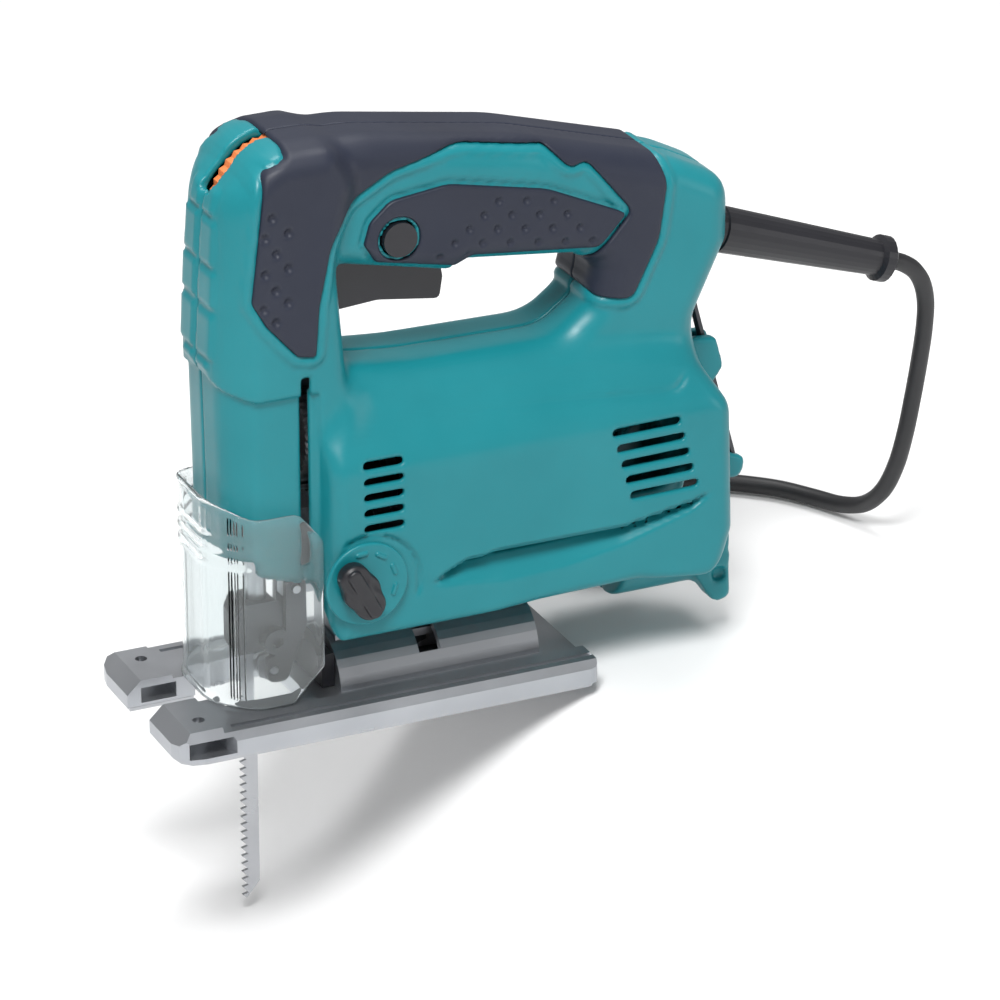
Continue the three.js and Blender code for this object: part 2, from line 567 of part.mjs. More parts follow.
function rollerGuide() {
  const armOutline = outline([
    [-24.6, 45, 2], [-17.4, 45, 2], [-17.2, 28, 6], [-24.6, 8.6, 3], [-31.4, 8.6, 3], [-31.8, 17, 2],
    [-25.6, 20.4, 2], [-24.8, 30, 6],
  ], 3);
  const cheeks = union(
    sideSolid(armOutline, -5.6, -3),
    sideSolid(armOutline, 3, 5.6),
    box(-20.6, -4, 22, -17.6, 4, 36),
  )
    .subtract(rod(1.8, -10, 10, [ROLLER_PIVOT.x, 0, ROLLER_PIVOT.z], ALONG_Y, 12))
    .subtract(rod(1.6, -10, 10, [ROLLER.x, 0, ROLLER.z], ALONG_Y, 12));
  piece('roller_arm', 'dark_steel', cheeks);
  piece('roller_arm_pin', 'steel', rod(1.5, -6.4, 6.4, [ROLLER_PIVOT.x, 0, ROLLER_PIVOT.z], ALONG_Y, 12));
  piece('guide_roller', 'steel', turned(
    [[1.6, -2.6], [ROLLER.radius, -2.6], [ROLLER.radius, -0.85], [ROLLER.radius - 0.9, -0.75],
      [ROLLER.radius - 0.9, 0.75], [ROLLER.radius, 0.85], [ROLLER.radius, 2.6], [1.6, 2.6], [1.6, -2.6]],
    [ROLLER.x, 0, ROLLER.z], ALONG_Y, 24));
  piece('guide_roller_pin', 'steel', rod(1.3, -5.6, 5.6, [ROLLER.x, 0, ROLLER.z], ALONG_Y, 12));
}

// ---------------------------------------------------------------- clear cover

function coverPlan(inset) {
  const half = 27.2 - inset;
  const front = -57 + inset;
  const shape = new THREE.Shape();
  shape.moveTo(-5, -half);
  shape.lineTo(-40, -half);
  shape.bezierCurveTo(-50, -half, front, -16 + inset, front, 0);
  shape.bezierCurveTo(front, 16 - inset, -50, half, -40, half);
  shape.lineTo(-5, half);
  return shape.getPoints(8);
}

function clearCover() {
  const walls = planSolid(coverPlan(0), 5, 100).subtract(planSolid(coverPlan(1.9), 0, 110));
  const side = sideSolid(outline([
    [-70, 9.9], [-70, 84], [-56, 84, 4], [-44, 79, 6], [-28, 79, 6], [-19.3, 68, 6], [-19.3, 22, 2],
    [-31, 9.9],
  ]), -60, 60);
  piece('clear_cover', 'clear_plastic', walls.intersect(side));
}

// ---------------------------------------------------------------- base

function basePlan(inset) {
  const half = SOLE.halfWidth - inset;
  const front = SOLE.front + inset;
  const back = SOLE.back - inset;
  return outline([
    [front, -half, 9], [back, -half, 3], [back, half, 3], [front, half, 9],
  ], 3);
}

function notch(grow) {
  const inner = NOTCH.halfWidth + grow;
  const wide = NOTCH.wideHalfWidth + grow;
  return union(
    box(-100, -inner, -10, -50, inner, 30),
    box(NOTCH.wideFront - grow, -wide, -10, NOTCH.back + grow, wide, 30),
  );
}

function saddleArc(radius, low, high) {
  return rod(radius, low, high, [0, TILT.y, TILT.z], ALONG_X, 36);
}

// The base's envelope: its long upper edges and its front edge are bevelled.
function baseBevels() {
  const half = SOLE.halfWidth;
  const across = [[-half, -1], [half, -1], [half, 7], [half - 4, PRONG.top], [4 - half, PRONG.top], [-half, 7]];
  const along = [[SOLE.front, -1], [100, -1], [100, PRONG.top], [SOLE.front + 5, PRONG.top], [SOLE.front, 6.2]];
  return frontSolid(outline(across), -100, 100).intersect(sideSolid(outline(along), -60, 60));
}

function base() {
  const slab = planSolid(basePlan(0), SOLE.coverThickness + GAP, PRONG.top)
    .intersect(baseBevels())
    .subtract(box(PRONG.back, -60, SOLE.railTop, 100, 60, 30))
    .subtract(box(NOTCH.back - 1, -25, SOLE.webTop, 100, 25, 30));
  const boltRoom = box(8, -13, -5, 44, 13, 12);
  const saddle = saddleArc(SADDLE.radius, SADDLE.front, SADDLE.back)
    .subtract(saddleArc(SADDLE.radius - SADDLE.wall, SADDLE.front + 3, SADDLE.back - 3))
    .intersect(box(-60, -60, SOLE.webTop - 1, 100, 60, 60))
    .subtract(box(20, -15.5, 8, 28, 15.5, 40)); // arc-shaped slot for the clamp bolt
  const fenceSlot = box(-71.6, -60, 2.6, -58.8, 60, 8.2);
  let solid = union(slab.subtract(boltRoom), saddle).subtract(notch(0)).subtract(fenceSlot);
  for (const side of [-1, 1]) {
    // A bevelled mouth round the fence slot, and a clamp-screw hole down into it.
    const mouth = planSolid(outline([
      [-74.6, side * 40], [-55.6, side * 40], [-58.8, side * 34.5], [-71.6, side * 34.5],
    ]), 2.6, 8.2);
    const railGroove = box(-56, side * 32 - 1, SOLE.railTop - 1.2, 80, side * 32 + 1, 20);
    solid = solid.subtract(mouth).subtract(railGroove).subtract(rod(2.1, 5, 20, [-65.2, side * 26, 0], ALONG_Z, 16));
  }
  piece('base_plate', 'cast_aluminium', solid);
  const cover = planSolid(basePlan(1), 0, SOLE.coverThickness)
    .subtract(notch(0.4))
    .subtract(box(17, -12, -5, 31, 12, 5));
  piece('sole_cover', 'steel', cover);
}

function bevelClamp() {
  const block = box(-8, -8.5, 18, 62, 8.5, 42.6).subtract(saddleArc(SADDLE.radius + GAP, -20, 80))
    .subtract(rod(3, 0, 36, [BEVEL_BOLT.x, 0, 0], ALONG_Z, 16));
  piece('saddle_block', 'cast_aluminium', block);
  const wall = SADDLE.radius - SADDLE.wall - GAP;
  const plate = saddleArc(wall, 16, 32).subtract(saddleArc(wall - 2.5, 10, 40))
    .intersect(box(10, -6.5, 15, 40, 6.5, 30))
    .subtract(rod(3, 0, 36, [BEVEL_BOLT.x, 0, 0], ALONG_Z, 16));
  piece('bevel_clamp_plate', 'steel', plate);
  const head = rod(5, 12.4, 16.3, [BEVEL_BOLT.x, 0, 0], ALONG_Z, 6);
  piece('bevel_bolt', 'dark_steel', union(head, rod(2.6, 16, 34, [BEVEL_BOLT.x, 0, 0], ALONG_Z, 16))
    .subtract(rod(2.2, 10, 15, [BEVEL_BOLT.x, 0, 0], ALONG_Z, 6)));
  piece('dust_seal', 'black_plastic', box(-15, -13, SOLE.webTop + GAP, -10.4, 13, 19));
}

// ---------------------------------------------------------------- hex key and its holder

function hexKey() {
  const top = new THREE.Vector3(130, 0, 118);
  const low = new THREE.Vector3(146.8, 0, 56);
  const direction = low.clone().sub(top);
  const length = direction.length();
  const key = rod(1.5, 0, length, top.toArray(), direction.toArray(), 6);
  piece('hex_key', 'dark_steel', union(key, rod(1.5, -1.5, 8.5, low.toArray(), [-1, 0, -0.26], 6)));
}

// ---------------------------------------------------------------- cord

function cordTube() {
  const route = CORD_ROUTE.map((point) => new THREE.Vector3(...point));
  const curve = new THREE.CatmullRomCurve3(route, false, 'centripetal');
  const section = new THREE.Shape();
  const sides = 8;
  for (let i = 0; i < sides; i++) {
    const angle = (i * 2 * Math.PI) / sides;
    const x = CORD_RADIUS * Math.cos(angle);
    const y = CORD_RADIUS * Math.sin(angle);
    if (i === 0) section.moveTo(x, y);
    else section.lineTo(x, y);
  }
  const options = { steps: CORD_STEPS, extrudePath: curve, bevelEnabled: false };
  return solidFrom(new THREE.ExtrudeGeometry(section, options));
}

function cord() {
  const start = [GUARD_START.x, 0, GUARD_START.z];
  const length = Math.hypot(GUARD_TIP.x - GUARD_START.x, GUARD_TIP.z - GUARD_START.z);
  const guard = turned([
    [0, -13], [10.5, -13], [10.5, -9], [7.5, -9], [7.5, 7], [8.2, 7.4], [6.4, length - 7], [8.2, length - 6],
    [8.2, length - 2.5], [6.4, length - 1.5], [5, length], [0, length],
  ], start, guardDirection(), 24);
  piece('cord_guard', 'black_plastic', guard);
  piece('cord_run', 'cord_rubber', cordTube());
  const halfBand = (COIL.rows * CORD_PITCH) / 2;
  piece('cord_coil', 'cord_rubber', ring(COIL.turnRadius - halfBand, COIL.turnRadius + halfBand,
    0, COIL.rows * CORD_PITCH, [COIL.x, COIL.y, 0], ALONG_Z, 40));
  const top = COIL.rows * CORD_PITCH + GAP;
  const wide = PLUG.halfWidth;
  const middle = [COIL.x, COIL.y - COIL.turnRadius, top + PLUG.height / 2];
  const body = planSolid(outline([
    [PLUG.back, -wide, 7], [PLUG.face, -wide, 3], [PLUG.face, wide, 3], [PLUG.back, wide, 7],
  ]), top, top + PLUG.height).translate([middle[0], middle[1], 0]);
  const nose = rod(4, PLUG.back - 10.5, PLUG.back + 2, middle, ALONG_X, 16);
  piece('plug', 'black_plastic', union(body, nose));
  for (const [side, name] of [[-1, 'plug_pin_1'], [1, 'plug_pin_2']]) {
    const from = [middle[0], middle[1] + side * PLUG.pinSpacing, middle[2]];
    piece(name, 'steel', rod(2, PLUG.face + GAP, PLUG.face + PLUG.pinLength, from, ALONG_X, 12));
  }
}

housing();
grips();
controls();
selectorLever();
motor();
gearbox();
sliderAndBlade();
rollerGuide();
clearCover();
base();
bevelClamp();
hexKey();
cord();

export default group;
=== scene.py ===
"""The looks of a corded jigsaw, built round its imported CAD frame.

Everything is in the frame's own axes: +X back towards the cord, -Y the selector's side, +Z up, and
Z = 0 the sole. Shapes are worked out in millimetres as distance fields and become meshes in metres.
"""

import itertools
import json
import math

import bpy
import numpy as np
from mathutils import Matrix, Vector


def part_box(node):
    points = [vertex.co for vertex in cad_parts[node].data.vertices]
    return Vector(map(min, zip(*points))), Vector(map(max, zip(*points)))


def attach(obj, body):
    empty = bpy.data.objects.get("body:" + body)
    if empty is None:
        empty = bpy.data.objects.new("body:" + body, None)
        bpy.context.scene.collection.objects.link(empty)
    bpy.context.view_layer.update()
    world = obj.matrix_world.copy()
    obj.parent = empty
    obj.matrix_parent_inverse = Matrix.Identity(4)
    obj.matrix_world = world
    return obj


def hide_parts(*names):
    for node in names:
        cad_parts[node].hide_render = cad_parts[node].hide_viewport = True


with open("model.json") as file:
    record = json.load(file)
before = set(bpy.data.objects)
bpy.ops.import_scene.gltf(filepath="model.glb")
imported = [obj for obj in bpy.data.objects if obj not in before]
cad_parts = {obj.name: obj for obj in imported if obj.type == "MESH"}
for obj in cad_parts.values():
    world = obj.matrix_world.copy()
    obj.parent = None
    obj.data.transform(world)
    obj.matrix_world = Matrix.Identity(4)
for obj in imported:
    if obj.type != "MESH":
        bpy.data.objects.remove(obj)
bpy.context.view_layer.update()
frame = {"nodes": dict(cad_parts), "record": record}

MM = 0.001


def box_mm(node):
    low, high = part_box(node)
    return np.array(low) / MM, np.array(high) / MM


def centre_mm(node):
    low, high = box_mm(node)
    return (low + high) / 2


# ------------------------------------------------------------------ camera

CAMERA_TARGET = Vector((0.0574, 0.0, 0.0576))
CAMERA_BACK = Vector((-0.3847, -0.8287, 0.4064))
CAMERA_DISTANCE = 1.8974
CAMERA_LENS = 200

camera_data = bpy.data.cameras.new("camera")
camera_data.lens = CAMERA_LENS
camera_data.sensor_width = 36
camera_data.clip_end = 20
camera = bpy.data.objects.new("camera", camera_data)
camera.location = CAMERA_TARGET + CAMERA_DISTANCE * CAMERA_BACK
camera.rotation_euler = (-CAMERA_BACK).to_track_quat("-Z", "Y").to_euler()
bpy.context.scene.collection.objects.link(camera)
bpy.context.scene.camera = camera
bpy.context.scene.view_settings.view_transform = "Standard"

# ------------------------------------------------------------------ materials


def new_material(name):
    material = bpy.data.materials.new(name)
    material.use_nodes = True
    shader = material.node_tree.nodes["Principled BSDF"]
    return material, material.node_tree, shader


def noise(tree, scale, detail=3.0, stretch=None):
    """A noise texture in the object's own coordinates, which are the frame's."""
    coordinates = tree.nodes.new("ShaderNodeTexCoord")
    texture = tree.nodes.new("ShaderNodeTexNoise")
    texture.inputs["Scale"].default_value = scale
    texture.inputs["Detail"].default_value = detail
    if stretch is None:
        tree.links.new(coordinates.outputs["Object"], texture.inputs["Vector"])
    else:
        mapping = tree.nodes.new("ShaderNodeMapping")
        mapping.inputs["Scale"].default_value = stretch
        tree.links.new(coordinates.outputs["Object"], mapping.inputs["Vector"])
        tree.links.new(mapping.outputs["Vector"], texture.inputs["Vector"])
    return texture


def vary_colour(tree, shader, texture, dark, light):
    ramp = tree.nodes.new("ShaderNodeValToRGB")
    ramp.color_ramp.elements[0].position = 0.3
    ramp.color_ramp.elements[0].color = (*dark, 1)
    ramp.color_ramp.elements[1].position = 0.7
    ramp.color_ramp.elements[1].color = (*light, 1)
    tree.links.new(texture.outputs["Fac"], ramp.inputs["Fac"])
    tree.links.new(ramp.outputs["Color"], shader.inputs["Base Color"])


def vary_roughness(tree, shader, texture, low, high):
    span = tree.nodes.new("ShaderNodeMapRange")
    span.inputs["From Min"].default_value = 0.3
    span.inputs["From Max"].default_value = 0.7
    span.inputs["To Min"].default_value = low
    span.inputs["To Max"].default_value = high
    tree.links.new(texture.outputs["Fac"], span.inputs["Value"])
    tree.links.new(span.outputs["Result"], shader.inputs["Roughness"])


def add_bump(tree, shader, texture, strength, distance):
    bump = tree.nodes.new("ShaderNodeBump")
    bump.inputs["Strength"].default_value = strength
    bump.inputs["Distance"].default_value = distance
    tree.links.new(texture.outputs["Fac"], bump.inputs["Height"])
    tree.links.new(bump.outputs["Normal"], shader.inputs["Normal"])


def surface_material(name, dark, light, roughness, metallic=0.0, grain=900.0, relief=0.00004,
                     strength=0.25, stretch=None, coat=0.0, specular=0.5):
    """A material with a slow drift of colour and roughness, and a fine grain."""
    material, tree, shader = new_material(name)
    shader.inputs["Metallic"].default_value = metallic
    shader.inputs["Specular IOR Level"].default_value = specular
    shader.inputs["Coat Weight"].default_value = coat
    shader.inputs["Coat Roughness"].default_value = 0.12
    drift = noise(tree, 22.0)
    vary_colour(tree, shader, drift, dark, light)
    vary_roughness(tree, shader, noise(tree, 60.0), roughness * 0.88, roughness * 1.12)
    add_bump(tree, shader, noise(tree, grain, 2.0, stretch), strength, relief)
    return material


MATERIALS = {
    "teal_plastic": surface_material("teal_plastic", (0.006, 0.168, 0.196), (0.009, 0.192, 0.222), 0.34,
                                     grain=1500, strength=0.12, specular=0.32),
    "soft_grip": surface_material("soft_grip", (0.010, 0.013, 0.026), (0.014, 0.018, 0.034), 0.52,
                                  grain=2200, strength=0.4, relief=0.00005, specular=0.4),
    "black_plastic": surface_material("black_plastic", (0.006, 0.006, 0.009), (0.010, 0.010, 0.014), 0.40,
                                      grain=1600, strength=0.25),
    "orange_plastic": surface_material("orange_plastic", (0.62, 0.165, 0.045), (0.70, 0.20, 0.06), 0.5,
                                       grain=1600),
    "cast_aluminium": surface_material("cast_aluminium", (0.36, 0.375, 0.40), (0.44, 0.455, 0.48), 0.34,
                                       metallic=0.9, grain=1100, strength=0.3),
    "steel": surface_material("steel", (0.36, 0.37, 0.39), (0.47, 0.48, 0.50), 0.30, metallic=1.0,
                              grain=700, stretch=(1, 1, 0.05), strength=0.2),
    "dark_steel": surface_material("dark_steel", (0.045, 0.047, 0.052), (0.075, 0.078, 0.086), 0.42,
                                   metallic=0.8, grain=900),
    "copper": surface_material("copper", (0.55, 0.24, 0.11), (0.66, 0.31, 0.15), 0.35, metallic=1.0),
    "bronze": surface_material("bronze", (0.33, 0.22, 0.10), (0.42, 0.29, 0.14), 0.45, metallic=0.9),
    "carbon": surface_material("carbon", (0.015, 0.015, 0.016), (0.025, 0.025, 0.027), 0.8),
    "cord_rubber": surface_material("cord_rubber", (0.007, 0.0075, 0.009), (0.012, 0.012, 0.014), 0.5,
                                    grain=1800, strength=0.3),
}


def clear_material():
    material, tree, shader = new_material("clear_plastic")
    shader.inputs["Base Color"].default_value = (0.90, 0.945, 0.95, 1)
    shader.inputs["Transmission Weight"].default_value = 0.94
    shader.inputs["IOR"].default_value = 1.22
    vary_roughness(tree, shader, noise(tree, 40.0), 0.05, 0.12)
    return material


MATERIALS["clear_plastic"] = clear_material()

SLOT_OF = {part["node"]: part["material_slot"] for part in frame["record"]["subparts"]}

# ------------------------------------------------------------------ distance fields and their surfaces


class Volume:
    """A box of sample points in millimetres, with x, y and z that broadcast against each other."""

    def __init__(self, low, high, step):
        axes = [np.arange(a - 2 * step, b + 3 * step, step, dtype=np.float32) for a, b in zip(low, high)]
        self.low = np.array([axis[0] for axis in axes])
        self.step = step
        self.x = axes[0][:, None, None]
        self.y = axes[1][None, :, None]
        self.z = axes[2][None, None, :]
        self.shape = tuple(len(axis) for axis in axes)


def rounded(corners, steps=4):
    """The outline of corners (a, b, radius), each rounded by its radius."""
    points = []
    count = len(corners)
    for i, corner in enumerate(corners):
        here = np.array(corner[:2], float)
        radius = corner[2] if len(corner) > 2 else 0
        if radius == 0:
            points.append(here)
            continue
        to_before = np.array(corners[i - 1][:2], float) - here
        to_after = np.array(corners[(i + 1) % count][:2], float) - here
        room = 0.48 * min(np.linalg.norm(to_before), np.linalg.norm(to_after))
        to_before /= np.linalg.norm(to_before)
        to_after /= np.linalg.norm(to_after)
        half_angle = math.acos(np.clip(to_before @ to_after, -1, 1)) / 2
        reach = min(radius / math.tan(half_angle), room)
        for t in np.linspace(0, 1, steps + 1):
            points.append(here + reach * ((1 - t) ** 2 * to_before + t ** 2 * to_after))
    return points


def polygon(points, a, b):
    """Signed distance to a closed outline, negative inside."""
    nearest = np.full(np.broadcast_shapes(a.shape, b.shape), 1e9, np.float32)
    inside = np.zeros(nearest.shape, bool)
    previous = points[-1]
    for point in points:
        ea, eb = previous[0] - point[0], previous[1] - point[1]
        wa, wb = a - point[0], b - point[1]
        t = np.clip((wa * ea + wb * eb) / max(ea * ea + eb * eb, 1e-9), 0, 1)
        nearest = np.minimum(nearest, (wa - ea * t) ** 2 + (wb - eb * t) ** 2)
        crosses = (point[1] > b) != (previous[1] > b)
        if eb != 0:
            inside ^= crosses & (a < ea * (b - point[1]) / eb + point[0])
        previous = point
    return np.where(inside, -1, 1) * np.sqrt(nearest)


def side(v, corners):
    return polygon(rounded(corners), v.x, v.z)


def plan(v, corners):
    return polygon(rounded(corners), v.x, v.y)


def section(v, corners):
    return polygon(rounded(corners), v.y, v.z)


def between(axis, low, high):
    return np.abs(axis - (low + high) / 2) - (high - low) / 2


def disc(a, b, centre, radius):
    return np.hypot(a - centre[0], b - centre[1]) - radius


def join(a, b, blend=0.0):
    """Union, with a fillet about as wide as blend."""
    if blend == 0:
        return np.minimum(a, b)
    overlap = np.maximum(blend - np.abs(a - b), 0) / blend
    return np.minimum(a, b) - overlap * overlap * blend / 4


def cut(a, b, blend=0.0):
    """What is left of a outside b."""
    return -join(-a, b, blend)


def meet(a, b, radius=0.0):
    """What a and b share, with its edge rounded by radius."""
    if radius == 0:
        return np.maximum(a, b)
    outer = np.hypot(np.maximum(a + radius, 0), np.maximum(b + radius, 0))
    return np.minimum(np.maximum(a, b) + radius, 0) + outer - radius


def step_up(value, low, high):
    """Smoothly 0 below low and 1 above high."""
    t = np.clip((value - low) / (high - low), 0, 1)
    return t * t * (3 - 2 * t)


def inside_of(distance, soft=0.8):
    """1 inside an outline and 0 outside it, smooth across its edge."""
    return 1 - step_up(distance, -soft, soft)


def tilted_box(v, centre, half, direction):
    """Distance to a rectangle in X and Z whose long side lies along direction."""
    along = (v.x - centre[0]) * direction[0] + (v.z - centre[1]) * direction[1]
    across = (v.z - centre[1]) * direction[0] - (v.x - centre[0]) * direction[1]
    return meet(np.abs(along) - half[0], np.abs(across) - half[1], min(half) * 0.9)


CORNERS = list(itertools.product((0, 1), repeat=3))
EDGES = [(p, q) for p, q in itertools.combinations(range(8), 2)
         if sum(abs(i - j) for i, j in zip(CORNERS[p], CORNERS[q])) == 1]


def blended(samples, place):
    """Samples at a cell's eight corners, interpolated at a place in the cell."""
    total = 0
    for sample, corner in zip(samples, CORNERS):
        weight = 1
        for axis in range(3):
            weight = weight * (place[:, axis] if corner[axis] else 1 - place[:, axis])
        total = total + sample * weight
    return total


def surface(name, field, v, material, body, first_row=0):
    """The field's zero surface as a smooth-shaded object that rides on a CAD body.

    The field may cover only some of the volume's rows along Y, from first_row on.
    """
    windows = [tuple(slice(c, n - 1 + c) for c, n in zip(corner, field.shape)) for corner in CORNERS]
    below = sum((field[w] < 0).astype(np.int8) for w in windows)
    active = (below > 0) & (below < 8)
    cells = np.argwhere(active)
    values = [field[w][active] for w in windows]
    total = np.zeros(cells.shape)
    hits = np.zeros(len(cells))
    for p, q in EDGES:
        crosses = (values[p] < 0) != (values[q] < 0)
        t = np.where(crosses, values[p] / np.where(crosses, values[p] - values[q], 1), 0)[:, None]
        a, b = np.array(CORNERS[p]), np.array(CORNERS[q])
        total += crosses[:, None] * (a + t * (b - a))
        hits += crosses
    place = total / hits[:, None]
    slopes = np.gradient(field)
    corner_slopes = [[slope[w][active] for w in windows] for slope in slopes]
    for _ in range(2):
        value = blended(values, place)
        normal = np.stack([blended(s, place) for s in corner_slopes], axis=1)
        push = value / np.maximum((normal * normal).sum(1), 0.05)
        place = np.clip(place - push[:, None] * normal, 0, 1)
    normal = np.stack([blended(s, place) for s in corner_slopes], axis=1)
    low = v.low + np.array([0, first_row, 0]) * v.step
    points = (low + (cells + place) * v.step) * MM

    number = np.full(active.shape, -1, np.int32)
    number[active] = np.arange(len(cells))
    quads = []
    solid = field < 0
    for axis in range(3):
        others = [i for i in range(3) if i != axis]
        here = [slice(1, -1)] * 3
        ahead = [slice(1, -1)] * 3
        here[axis] = slice(0, -1)
        ahead[axis] = slice(1, None)
        starts, ends = solid[tuple(here)], solid[tuple(ahead)]
        for flips, order in ((starts & ~ends, 1), (~starts & ends, -1)):
            at = np.argwhere(flips)
            at[:, others] += 1
            ring = []
            for da, db in ((0, 0), (1, 0), (1, 1), (0, 1)):
                cell = at.copy()
                cell[:, others[0]] -= 1 - da
                cell[:, others[1]] -= 1 - db
                ring.append(number[tuple(cell.T)])
            turn = order * (-1 if axis == 1 else 1)
            quads.append(np.stack(ring[::turn], axis=1))
    quads = np.concatenate(quads)

    mesh = bpy.data.meshes.new(name)
    mesh.vertices.add(len(points))
    mesh.vertices.foreach_set("co", points.astype(np.float32).ravel())
    mesh.loops.add(quads.size)
    mesh.loops.foreach_set("vertex_index", quads.astype(np.int32).ravel())
    mesh.polygons.add(len(quads))
    mesh.polygons.foreach_set("loop_start", np.arange(0, quads.size, 4, dtype=np.int32))
    mesh.polygons.foreach_set("use_smooth", np.ones(len(quads), bool))
    mesh.update(calc_edges=True)
    mesh.validate()
    length = np.maximum(np.linalg.norm(normal, axis=1, keepdims=True), 1e-6)
    mesh.normals_split_custom_set_from_vertices((normal / length).tolist())
    mesh.materials.append(MATERIALS[material])
    piece = bpy.data.objects.new(name, mesh)
    bpy.context.scene.collection.objects.link(piece)
    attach(piece, body)
    return piece


# ------------------------------------------------------------------ the cord

CORD_DIAMETER = 2 * 3.15 * MM
# The cord's centre line from the guard's tip to the coil, in metres.
CORD_ROUTE = [
    (0.2074, 0.0, 0.1207), (0.2115, 0.0003, 0.119), (0.2165, 0.001, 0.1155), (0.221, 0.0026, 0.1095),
    (0.2242, 0.005, 0.101), (0.2258, 0.008, 0.09), (0.2263, 0.0115, 0.076), (0.2263, 0.0155, 0.06),
    (0.226, 0.0195, 0.0445), (0.2254, 0.0245, 0.03), (0.2242, 0.0315, 0.0175), (0.2222, 0.041, 0.0088),
    (0.219, 0.0525, 0.0044), (0.2138, 0.065, 0.0033), (0.206, 0.077, 0.0033), (0.1955, 0.087, 0.0033),
    (0.183, 0.096, 0.0033), (0.1695, 0.1045, 0.0033), (0.1575, 0.1138, 0.0033), (0.1473, 0.1235, 0.0033),
]
STEPS_PER_STRETCH = 6


def through(points, steps):
    """A smooth line through points, in the centripetal Catmull-Rom form."""
    ends = [2 * points[0] - points[1], *points, 2 * points[-1] - points[-2]]
    line = []
    for p0, p1, p2, p3 in zip(ends, ends[1:], ends[2:], ends[3:]):
        t1 = np.linalg.norm(p1 - p0) ** 0.5
        t2 = t1 + np.linalg.norm(p2 - p1) ** 0.5
        t3 = t2 + np.linalg.norm(p3 - p2) ** 0.5
        for t in np.linspace(t1, t2, steps, endpoint=False):
            a1 = (t1 - t) / t1 * p0 + t / t1 * p1
            a2 = (t2 - t) / (t2 - t1) * p1 + (t - t1) / (t2 - t1) * p2
            a3 = (t3 - t) / (t3 - t2) * p2 + (t - t2) / (t3 - t2) * p3
            b1 = (t2 - t) / t2 * a1 + t / t2 * a2
            b2 = (t3 - t) / (t3 - t1) * a2 + (t - t1) / (t3 - t1) * a3
            line.append((t2 - t) / (t2 - t1) * b1 + (t - t1) / (t2 - t1) * b2)
    line.append(points[-1])
    return line


def coil_line(start):
    """The wound stretch: nine turns in three layers, then up to the plug that lies on them."""
    low, high = (np.array(corner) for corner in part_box("cord_coil"))
    centre = (low + high) / 2
    pitch = (high[2] - low[2]) / 3
    outer = (high[0] - low[0]) / 2 - pitch / 2
    layers = [(outer, 0), (outer - pitch, 0), (outer - 2 * pitch, 0), (outer - 2 * pitch, 1),
              (outer - pitch, 1), (outer, 1), (outer, 2), (outer - pitch, 2), (outer - 2 * pitch, 2)]
    places = [(radius, pitch * (layer + 0.5)) for radius, layer in layers]
    plug_low, plug_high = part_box("plug")
    nose = np.array((plug_low[0], (plug_low[1] + plug_high[1]) / 2, (plug_low[2] + plug_high[2]) / 2))
    offset = start - centre
    angle = math.degrees(math.atan2(offset[1], offset[0]))
    first = (math.hypot(offset[0], offset[1]), start[2])
    nose_angle = math.degrees(math.atan2(nose[1] - centre[1], nose[0] - centre[0]))
    last = (math.hypot(nose[0] - centre[0], nose[1] - centre[1]), nose[2])
    turn, change, lead_in, rise = 340, 40, 70, 75
    total = 8 * turn + (nose_angle - angle - 8 * turn) % 360
    line = []
    for travelled in np.arange(6, total, 8.0):
        i = min(int(travelled // turn), len(places) - 1)
        radius, height = places[i]
        since = travelled - i * turn
        if i == 0:
            share = float(step_up(travelled, 0, lead_in))
            radius, height = (share * a + (1 - share) * b for a, b in zip(places[0], first))
        elif since < change:
            share = float(step_up(since, 0, change))
            radius, height = (share * a + (1 - share) * b for a, b in zip(places[i], places[i - 1]))
        share = float(step_up(travelled, total - rise, total))
        radius = (1 - share) * radius + share * last[0]
        height = (1 - share) * height + share * last[1]
        a = math.radians(angle + travelled)
        line.append(np.array((centre[0] + radius * math.cos(a), centre[1] + radius * math.sin(a), height)))
    line.append(nose)
    return line


def tube(name, line, radius, material, body, sides=4):
    data = bpy.data.curves.new(name, "CURVE")
    data.dimensions = "3D"
    data.bevel_depth = radius
    data.bevel_resolution = sides
    data.use_fill_caps = True
    spline = data.splines.new("POLY")
    spline.points.add(len(line) - 1)
    for point, place in zip(spline.points, line):
        point.co = (*place, 1)
    spline.use_smooth = True
    data.materials.append(MATERIALS[material])
    piece = bpy.data.objects.new(name, data)
    bpy.context.scene.collection.objects.link(piece)
    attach(piece, body)
    return piece


cord_run_line = through([np.array(point) for point in CORD_ROUTE], STEPS_PER_STRETCH)
cord_line = cord_run_line + coil_line(cord_run_line[-1])
cord = tube("mains_cord", cord_line, CORD_DIAMETER / 2, "cord_rubber", "housing")
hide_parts("cord_run", "cord_coil")

# ------------------------------------------------------------------ outlines of the body, in millimetres

LOOP = [
    (-50, 62), (-52, 130, 20), (-48, 188, 22), (-32, 202.6, 12), (2, 201.8, 60), (57, 193.2, 80),
    (117, 176.6, 40), (136, 167, 12), (136, 146, 10), (123.4, 119, 14), (124.8, 100, 10),
    (137.6, 66, 4), (136, 50, 4), (100, 40),
]
LOOP_OPENING = [
    (-10.4, 159.8, 4), (32.5, 150.6, 3), (39, 153.4, 3), (88.5, 147.8, 8), (83.5, 130, 9), (69, 119, 14),
    (20, 118.2, 30), (-6.5, 123.5, 7),
]
HEAD = [
    (-52.6, 56), (-53.6, 130, 30), (-50.5, 166, 30), (-47.4, 189, 18), (-33, 201.8, 12), (-12, 202.2, 6),
    (-6, 190, 6), (-11.2, 165, 6), (-7.6, 122, 4), (-4, 112), (-4, 47), (-25, 47),
]
HEAD_PLAN = [
    (0, -24), (-43, -24, 9), (-52, -14, 12), (-53.5, 0, 16), (-52, 14, 12), (-43, 24, 9), (0, 24),
]
